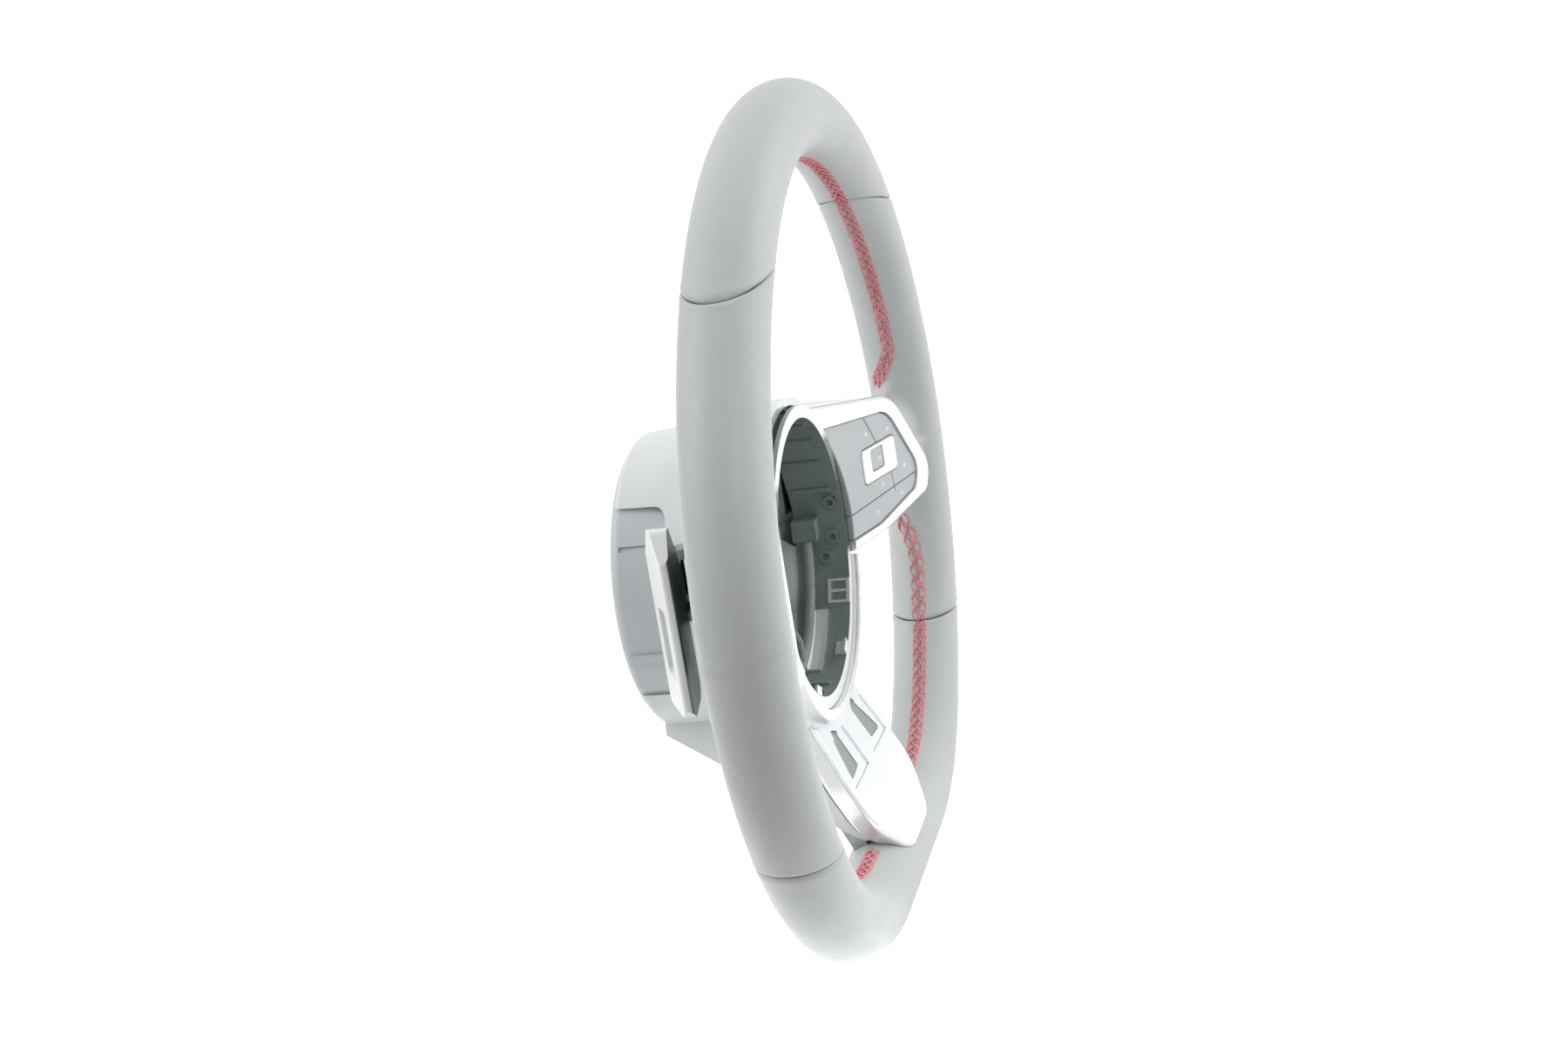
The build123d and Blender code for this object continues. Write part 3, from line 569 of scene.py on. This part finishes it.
def lacing_tree():
    """Threads that weave from side to side of the sewn line and over each other, as tubes along their path."""
    tree = bpy.data.node_groups.new("lacing", "GeometryNodeTree")
    for label, kind in (("Path", "NodeSocketGeometry"), ("Strands", "NodeSocketInt"), ("Half Width", FLOAT),
                        ("Period", FLOAT), ("Thread", FLOAT), ("Lift", FLOAT), ("Unevenness", FLOAT),
                        ("Seed", FLOAT), ("Material", "NodeSocketMaterial")):
        tree.interface.new_socket(label, in_out="INPUT", socket_type=kind)
    tree.interface.new_socket("Geometry", in_out="OUTPUT", socket_type="NodeSocketGeometry")
    gin, gout = tree.nodes.new("NodeGroupInput").outputs, tree.nodes.new("NodeGroupOutput")
    # One copy of the path for each strand
    curve = add(tree, "GeometryNodeMeshToCurve", (("Mesh", gin["Path"]),)).outputs[0]
    even = add(tree, "GeometryNodeResampleCurve", (("Curve", curve), ("Length", PATH_STEP)), mode="LENGTH")
    copies = add(tree, "GeometryNodeDuplicateElements", (("Geometry", even.outputs[0]), ("Amount", gin["Strands"])),
                 domain="SPLINE")
    run = add(tree, "GeometryNodeSplineParameter").outputs["Length"]
    phase = math_node(tree, "DIVIDE", copies.outputs["Duplicate Index"], gin["Strands"])
    turn = math_node(tree, "MULTIPLY", math_node(tree, "ADD", math_node(tree, "DIVIDE", run, gin["Period"]), phase),
                     2 * math.pi)
    # How far a strand lies to the side, a little unevenly
    swing = math_node(tree, "COSINE", turn)
    place = add(tree, "GeometryNodeInputPosition").outputs[0]
    noise = add(tree, "ShaderNodeTexNoise", (("Vector", place), ("W", math_node(tree, "ADD", gin["Seed"], phase)),
                                             ("Scale", 260.0)), noise_dimensions="4D").outputs[0]
    wobble = math_node(tree, "MULTIPLY", math_node(tree, "SUBTRACT", noise, 0.5), gin["Unevenness"])
    aside = math_node(tree, "ADD", math_node(tree, "MULTIPLY", swing, gin["Half Width"]), wobble)
    # How high it lies: over or under its neighbour, round the rim, into its hole, and tucked in at a run's end
    over = math_node(tree, "MULTIPLY", math_node(tree, "SINE", math_node(tree, "MULTIPLY", turn, 2.0)), gin["Lift"])
    bend = math_node(tree, "DIVIDE", math_node(tree, "POWER", aside, 2.0), 2 * HALF * MM)
    hole = math_node(tree, "MULTIPLY", math_node(tree, "POWER", math_node(tree, "ABSOLUTE", swing), DIP_SHARP), DIP)
    whole = add(tree, "GeometryNodeSplineLength").outputs["Length"]
    near = math_node(tree, "MINIMUM", run, math_node(tree, "SUBTRACT", whole, run))
    tuck = ramp(tree, near, 0.0, TUCK_RUN, TUCK, 0.0)
    down = math_node(tree, "ADD", math_node(tree, "ADD", bend, hole), tuck)
    rise = math_node(tree, "ADD", math_node(tree, "SUBTRACT", over, down), gin["Thread"])
    out = add(tree, "GeometryNodeInputNamedAttribute", (("Name", "out"),), data_type="FLOAT_VECTOR").outputs[0]
    across = vector_node(tree, "CROSS_PRODUCT", add(tree, "GeometryNodeInputTangent").outputs[0], out)
    move = vector_node(tree, "ADD", vector_node(tree, "SCALE", across, aside), vector_node(tree, "SCALE", out, rise))
    # Tubes along the moved strands, which keep their run for the twist of the yarn
    kept = add(tree, "GeometryNodeCaptureAttribute")
    kept.capture_items.new("FLOAT", "Run")
    tree.links.new(copies.outputs["Geometry"], kept.inputs[0])
    tree.links.new(run, kept.inputs[1])
    laid = add(tree, "GeometryNodeSetPosition", (("Geometry", kept.outputs[0]), ("Offset", move))).outputs[0]
    circle = add(tree, "GeometryNodeCurvePrimitiveCircle", (("Resolution", 6), ("Radius", gin["Thread"]))).outputs[0]
    tubes = add(tree, "GeometryNodeCurveToMesh", (("Curve", laid), ("Profile Curve", circle), ("Fill Caps", True)))
    spun = math_node(tree, "DIVIDE", kept.outputs[1], TWIST)
    marked = add(tree, "GeometryNodeStoreNamedAttribute", (("Geometry", tubes.outputs[0]), ("Name", "twist"),
                                                           ("Value", spun)), data_type="FLOAT", domain="POINT")
    smooth = add(tree, "GeometryNodeSetShadeSmooth", (("Geometry", marked.outputs[0]),))
    real = add(tree, "GeometryNodeRealizeInstances", (("Geometry", smooth.outputs[0]),))
    done = add(tree, "GeometryNodeSetMaterial", (("Geometry", real.outputs[0]), ("Material", gin["Material"])))
    tree.links.new(done.outputs[0], gout.inputs[0])
    return tree


def baked(obj, tree, values):
    modifier = obj.modifiers.new("nodes", "NODES")
    modifier.node_group = tree
    for item in tree.interface.items_tree:
        if item.in_out == "INPUT" and item.name in values:
            modifier[item.identifier] = values[item.name]
    graph = bpy.context.evaluated_depsgraph_get()
    graph.update()
    mesh = bpy.data.meshes.new_from_object(obj.evaluated_get(graph))
    obj.modifiers.clear()
    obj.data = mesh


lacing_nodes = lacing_tree()


def laced(kind):
    """The threads of one kind of lacing, along every run of the sewn line that has it."""
    points, edges, outs, last = [], [], [], None
    for on, at, out in sewn_line:
        if on == kind:
            points.append(at * MM)
            outs.extend(out)
            if last is not None and (points[last] - points[-1]).length < RUN_BREAK:
                edges.append((last, len(points) - 1))
        last = len(points) - 1 if on == kind else None
    name = f"lacing_{kind}"
    path = bpy.data.meshes.new(name)
    path.from_pydata(points, edges, [])
    path.attributes.new("out", "FLOAT_VECTOR", "POINT").data.foreach_set("vector", outs)
    piece = linked(name, path)
    baked(piece, lacing_nodes, {**LACINGS[kind], "Unevenness": 0.0008, "Seed": 7.0, "Material": mats["thread"]})
    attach(piece, "wheel")
    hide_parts("stitching")


for kind in LACINGS:
    laced(kind)


# Loom: a taped bundle along the wall of the bay, and its branch to the plug at the back
# Radius and length of a lap of tape, in mm, of the ring and of the branch
LOOM_THICK, LOOM_LAP, BRANCH_THICK, BRANCH_LAP = 2.5, 4.2, 2.2, 3.8
TUBE_SIDES = 20
# Radius of the tape as a share of the loom's, at the start of a lap, and how much it rises over one
TAPE_LOW, TAPE_RISE = 0.90, 0.09


def taped(name, points, thick, lap):
    """A tube along the points with the step of wound tape on it."""
    mesh = bpy.data.meshes.new(name)
    grid, run = [], 0.0
    normal = (points[1] - points[0]).orthogonal().normalized()
    bm = bmesh.new()
    for i, at in enumerate(points):
        along = (points[min(i + 1, len(points) - 1)] - points[max(i - 1, 0)]).normalized()
        normal = (normal - along * normal.dot(along)).normalized()
        side = along.cross(normal)
        run += (at - points[i - 1]).length if i else 0.0
        ring = []
        for k in range(TUBE_SIDES):
            turn = k / TUBE_SIDES
            r = thick * (TAPE_LOW + TAPE_RISE * ((run / lap + turn) % 1.0))
            a = 2 * math.pi * turn
            ring.append(bm.verts.new((at + r * (math.cos(a) * normal + math.sin(a) * side)) * MM))
        grid.append(ring)
    for a, b in zip(grid, grid[1:]):
        for k in range(TUBE_SIDES):
            j = (k + 1) % TUBE_SIDES
            bm.faces.new((a[k], a[j], b[j], b[k]))
    for ring in (grid[0], grid[-1]):
        bm.faces.new(ring)
    bmesh.ops.recalc_face_normals(bm, faces=bm.faces)
    bm.to_mesh(mesh)
    bm.free()
    return mesh


sweep = [math.radians(a) for a in np.linspace(LOOM_FROM, LOOM_TO, 330)]
ring_run = [Vector((LOOM_R * math.cos(a), LOOM_Y - SEAT, HUB_Z + LOOM_R * math.sin(a))) for a in sweep]
turn_y, turn_z = LOOM_Y + BRANCH_BEND, BRANCH_Z + BRANCH_RISE
branch = [(LOOM_Y, BRANCH_Z + t) for t in np.linspace(0, BRANCH_RISE, 15)]
branch += [(turn_y - BRANCH_BEND * math.cos(a), turn_z + BRANCH_BEND * math.sin(a))
           for a in np.linspace(0, math.pi / 2, 26)[1:-1]]
branch += [(turn_y + t, turn_z + BRANCH_BEND) for t in np.linspace(0, BRANCH_RUN, 47)]
branch_run = [Vector((BRANCH_X, y - SEAT, z)) for y, z in branch]
loom = linked("loom_taped", taped("loom_taped", ring_run, LOOM_THICK, LOOM_LAP))
drop = linked("loom_branch", taped("loom_branch", branch_run, BRANCH_THICK, BRANCH_LAP))
for piece in (loom, drop):
    piece.data.materials.append(mats["loom_sleeve"])
    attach(piece, "wheel")
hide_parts("loom")
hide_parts("loom")


# Symbols on the keys: plain arrows, bars and signs, set a hair above each key
TILT = math.atan(POD_SLOPE)
LINE = 0.42
# Height of a symbol over the pod's plane, on the button and on the rockers, and how deep it is set in
PRINT_BUTTON, PRINT_ROCKER, PRINT_DEEP = 0.34, 0.04, 0.25


def bar(x0, y0, x1, y1, wide=LINE):
    d = np.array((x1 - x0, y1 - y0))
    n = np.array((-d[1], d[0])) / np.hypot(*d) * wide / 2
    return [(x0 - n[0], y0 - n[1]), (x1 - n[0], y1 - n[1]), (x1 + n[0], y1 + n[1]), (x0 + n[0], y0 + n[1])]


def loop(x, y, rx, ry, count=20):
    at = [(math.cos(t), math.sin(t)) for t in np.linspace(0, 2 * math.pi, count + 1)]
    return [[(x + (rx - LINE) * c, y + (ry - LINE) * s), (x + rx * c, y + ry * s), (x + rx * d, y + ry * e),
             (x + (rx - LINE) * d, y + (ry - LINE) * e)] for (c, s), (d, e) in zip(at, at[1:])]


def arrow(turn):
    c, s = math.cos(turn), math.sin(turn)
    return [[(x * c - y * s, x * s + y * c) for x, y in ((-0.9, -1.2), (1.3, 0.0), (-0.9, 1.2))]]


# Outlines of each sign, in mm
SIGNS = {
    "up": arrow(math.pi / 2),
    "down": arrow(-math.pi / 2),
    "next": arrow(0.0) + [bar(1.55, -1.2, 1.55, 1.2)],
    "back": arrow(math.pi) + [bar(-1.55, -1.2, -1.55, 1.2)],
    "plus": [bar(-1.3, 0, 1.3, 0), bar(0, 0.21, 0, 1.3), bar(0, -0.21, 0, -1.3)],
    "minus": [bar(-1.3, 0, 1.3, 0)],
    "list": [bar(-1.4, y, 1.4, y, 0.36) for y in (-0.9, 0.0, 0.9)],
    "sound": [[(-1.5, -0.45), (-0.8, -0.45), (0.1, -1.2), (0.1, 1.2), (-0.8, 0.45), (-1.5, 0.45)],
              bar(0.7, -0.6, 0.7, 0.6, 0.32), bar(1.3, -1.0, 1.3, 1.0, 0.32)],
    "ring": loop(0, 0, 1.3, 1.3),
    "ok": loop(-1.3, 0, 1.05, 1.35) + [bar(0.35, -1.35, 0.35, 1.35), bar(0.56, 0, 1.75, 1.35),
                                       bar(0.75, 0.2, 1.85, -1.35)],
}
# Signs on each key with their place along the pod and up, and the ones that the left pod has instead
KEYS = {
    "inner_key": (("up", 30.1, 18), ("down", 40.5, -9)),
    "outer_key": (("next", 51.9, 15), ("back", 64.4, -6)),
    "lower_key": (("list", 31.2, -20), ("sound", 58.2, -18)),
    "ok_key": (("ok", 40.5, 3.5),),
}
LEFT_SIGNS = {"up": "plus", "down": "minus", "list": "ring"}


def on_pod(hand, along, up, lift):
    """Point over the sloping plane of a pod, in metres."""
    return Vector((hand * (POD_X + along * math.cos(TILT) - lift * math.sin(TILT)),
                   POD_Y - along * math.sin(TILT) - lift * math.cos(TILT) - SEAT, up)) * MM


def symbols(hand, key, marks):
    k = 1 if hand == "right" else -1
    top = PRINT_BUTTON if key == "ok_key" else PRINT_ROCKER
    bm = bmesh.new()
    for sign, u, v in marks:
        for shape in SIGNS[sign if k > 0 else LEFT_SIGNS.get(sign, sign)]:
            rows = [[bm.verts.new(on_pod(k, u + k * x, v + y, w)) for x, y in shape]
                    for w in (top - PRINT_DEEP, top)]
            bm.faces.new(rows[1])
            for i in range(len(shape)):
                j = (i + 1) % len(shape)
                bm.faces.new((rows[0][i], rows[0][j], rows[1][j], rows[1][i]))
    bmesh.ops.recalc_face_normals(bm, faces=bm.faces)
    name = f"{hand}_{key}_symbols"
    mesh = bpy.data.meshes.new(name)
    bm.to_mesh(mesh)
    bm.free()
    mesh.materials.append(mats["print"])
    obj = linked(name, mesh)
    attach(obj, f"{hand}_{key}")


for hand in ("right", "left"):
    for key, marks in KEYS.items():
        symbols(hand, key, marks)


# Floor, light and background
FLOOR_SIZE, FLOOR_GAP, FLOOR_GLOW = 30, 0.0004, 0.6
# Where the floor's shade changes, along X, and its shade on the camera's side and under the wheel
SHEET_FADE, SHEET_NEAR, SHEET_UNDER = (-0.22, -0.08), 0.12, 0.75
# Light of the room from the far side, from the camera's side and from above
ROOM_FAR, ROOM_NEAR, ROOM_ABOVE = 1.2, 0.1, 0.7
WHITE = (1.0, 1.0, 1.0, 1.0)


def looked_at(tree):
    """One for the camera and for what mirrors or glass show, nought for the light that falls on the wheel."""
    ray = add(tree, "ShaderNodeLightPath").outputs
    return math_node(tree, "MAXIMUM", ray["Is Camera Ray"],
                     math_node(tree, "MAXIMUM", ray["Is Glossy Ray"], ray["Is Transmission Ray"]))


floor_mesh = bpy.data.meshes.new("floor")
low = cad_box[0][2] - FLOOR_GAP
corners = ((-1, -1), (1, -1), (1, 1), (-1, 1))
floor_mesh.from_pydata([(x * FLOOR_SIZE, y * FLOOR_SIZE, low) for x, y in corners], [], [(0, 1, 2, 3)])
floor = linked("floor", floor_mesh)
floor_mesh.materials.append(mats["floor"])
# The white sheet lies under the wheel; what it throws back fades out towards the camera
tree = mats["floor"].node_tree
fade = ramp(tree, axis(tree, coords(tree, "Object"), 0), *SHEET_FADE, SHEET_NEAR, SHEET_UNDER, "SMOOTHSTEP")
seen = looked_at(tree)
shader = tree.nodes["Principled BSDF"]
base = shader.inputs["Base Color"]
grey = mix_colour(tree, math_node(tree, "MAXIMUM", fade, seen), linear(0, 0, 0), base.links[0].from_socket)
tree.links.new(grey, base)
shader.inputs["Specular IOR Level"].default_value = 0.0
shader.inputs["Emission Color"].default_value = WHITE
tree.links.new(math_node(tree, "MULTIPLY", seen, FLOOR_GLOW), shader.inputs["Emission Strength"])

# The room gives least light from the camera's side; to the eye it is white all round
world = bpy.data.worlds.new("studio")
world.use_nodes = True
tree = world.node_tree
toward = coords(tree, "Generated")
camera_side = Vector((-0.97, -0.22, -0.05)).normalized()
facing = add(tree, "ShaderNodeVectorMath", ((0, toward), (1, camera_side)), operation="DOT_PRODUCT").outputs["Value"]
side = ramp(tree, facing, -0.3, 0.5, ROOM_FAR, ROOM_NEAR, "SMOOTHSTEP")
above = ramp(tree, axis(tree, toward, 2), 0.35, 0.85, kind="SMOOTHSTEP")
room = mix_value(tree, above, side, ROOM_ABOVE)
background = tree.nodes["Background"].inputs
tree.links.new(mix_value(tree, looked_at(tree), room, 1.0), background["Strength"])
background["Color"].default_value = WHITE
scene.world = world

# Place, aim, size and power of each lamp; the sheet lamp is the light that the floor throws up at the near rim
LAMPS = {
    "front": ((0.55, -1.1, 0.5), (0, 0, 0), (1.0, 1.0), 6.0),
    "back": ((-0.55, 1.15, 0.75), (0, 0, 0), (1.0, 1.0), 9.0),
    "side": ((-0.42, -0.32, 0.22), (-0.16, -0.06, 0.08), (0.15, 0.15), 0.42),
    "sheet": ((-0.17, -0.06, low + 0.002), (-0.17, -0.06, 1), (0.2, 0.25), 0.12),
}
for name, (at, to, size, power) in LAMPS.items():
    light = bpy.data.lights.new(name, "AREA")
    light.shape = "RECTANGLE"
    light.size, light.size_y = size
    light.energy = power
    obj = linked(name, light)
    obj.location = at
    obj.rotation_euler = (Vector(to) - Vector(at)).to_track_quat("-Z", "Y").to_euler()
    obj.visible_camera = False
scene.view_settings.view_transform = "Standard"
scene.view_settings.look = "None"
